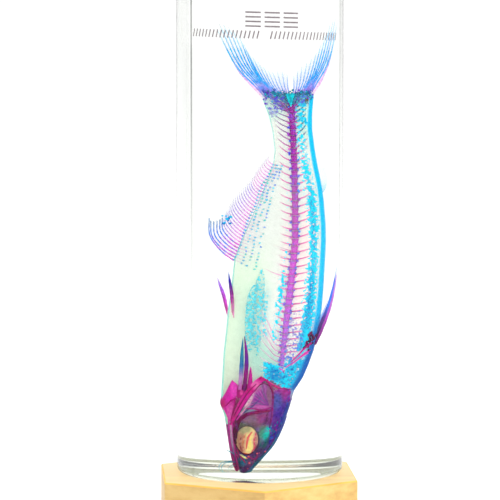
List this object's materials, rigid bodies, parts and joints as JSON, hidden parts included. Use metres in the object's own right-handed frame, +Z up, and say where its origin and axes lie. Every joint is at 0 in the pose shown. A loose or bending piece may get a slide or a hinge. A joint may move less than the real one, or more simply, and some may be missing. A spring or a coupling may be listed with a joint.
{
  "type": "specimen jar",
  "caption": "Round glass jar of clear fluid holding a cleared and stained fish, head down, closed by a wooden lid and standing on a hexagonal wooden plinth.",
  "frame": {"origin": "centre of the plinth's underside", "axes": "+Z up along the jar, -Y towards the viewer and the film label, +X towards the fish's back"},
  "size_m": [0.0712, 0.0792, 0.2323],
  "materials": {
    "plinth_wood": "sanded, unvarnished pale softwood with a little grain",
    "lid_wood": "turned pale wood, satin",
    "seal": "translucent silicone",
    "glass": "clear, polished, faint green at the edges",
    "label": "clear adhesive film with small grey print-like marks",
    "fluid": "clear liquid, colourless",
    "cleared_flesh": "clear jelly, pale green",
    "stained_bone": "wet, magenta to violet",
    "stained_cartilage": "wet, cyan to blue",
    "skull_bone": "wet, blue violet",
    "fin_ray": "wet, pink to blue rays in clear membrane",
    "eye": "wet, pale yellow with pink streaks"
  },
  "bodies": {
    "base": {"plinth": "plinth_wood"},
    "jar": {"jar_glass": "glass", "label_film": "label", "preserving_fluid": "fluid", "skull": "skull_bone", "lower_jaw": "stained_bone", "pectoral_girdle": "stained_bone", "gill_cover_left": "skull_bone", "gill_cover_right": "skull_bone", "eye_left": "eye", "eye_right": "eye", "backbone": "stained_bone", "flesh_left": "cleared_flesh", "flesh_right": "cleared_flesh", "gut": "stained_cartilage", "fin_shield": "skull_bone", "dorsal_fin": "fin_ray", "adipose_fin": "stained_cartilage", "anal_fin_supports": "stained_cartilage", "anal_fin": "fin_ray", "tail_plate": "stained_bone", "tail_lobe_belly_side": "fin_ray", "tail_lobe_back_side": "fin_ray", "pelvic_fin_left": "fin_ray", "pelvic_fin_right": "fin_ray", "pectoral_fin_left": "fin_ray", "pectoral_fin_right": "fin_ray", "barbel_left": "stained_cartilage", "barbel_right": "stained_cartilage"},
    "lid": {"lid": "lid_wood", "seal_ring_upper": "seal", "seal_ring_lower": "seal"}
  },
  "joints": [
    {"name": "jar_lift", "type": "slide", "parent": "base", "child": "jar", "axis": [0, 0, 1], "range_m": [0, 0.05]},
    {"name": "lid_lift", "type": "slide", "parent": "jar", "child": "lid", "axis": [0, 0, 1], "range_m": [0, 0.06]}
  ]
}
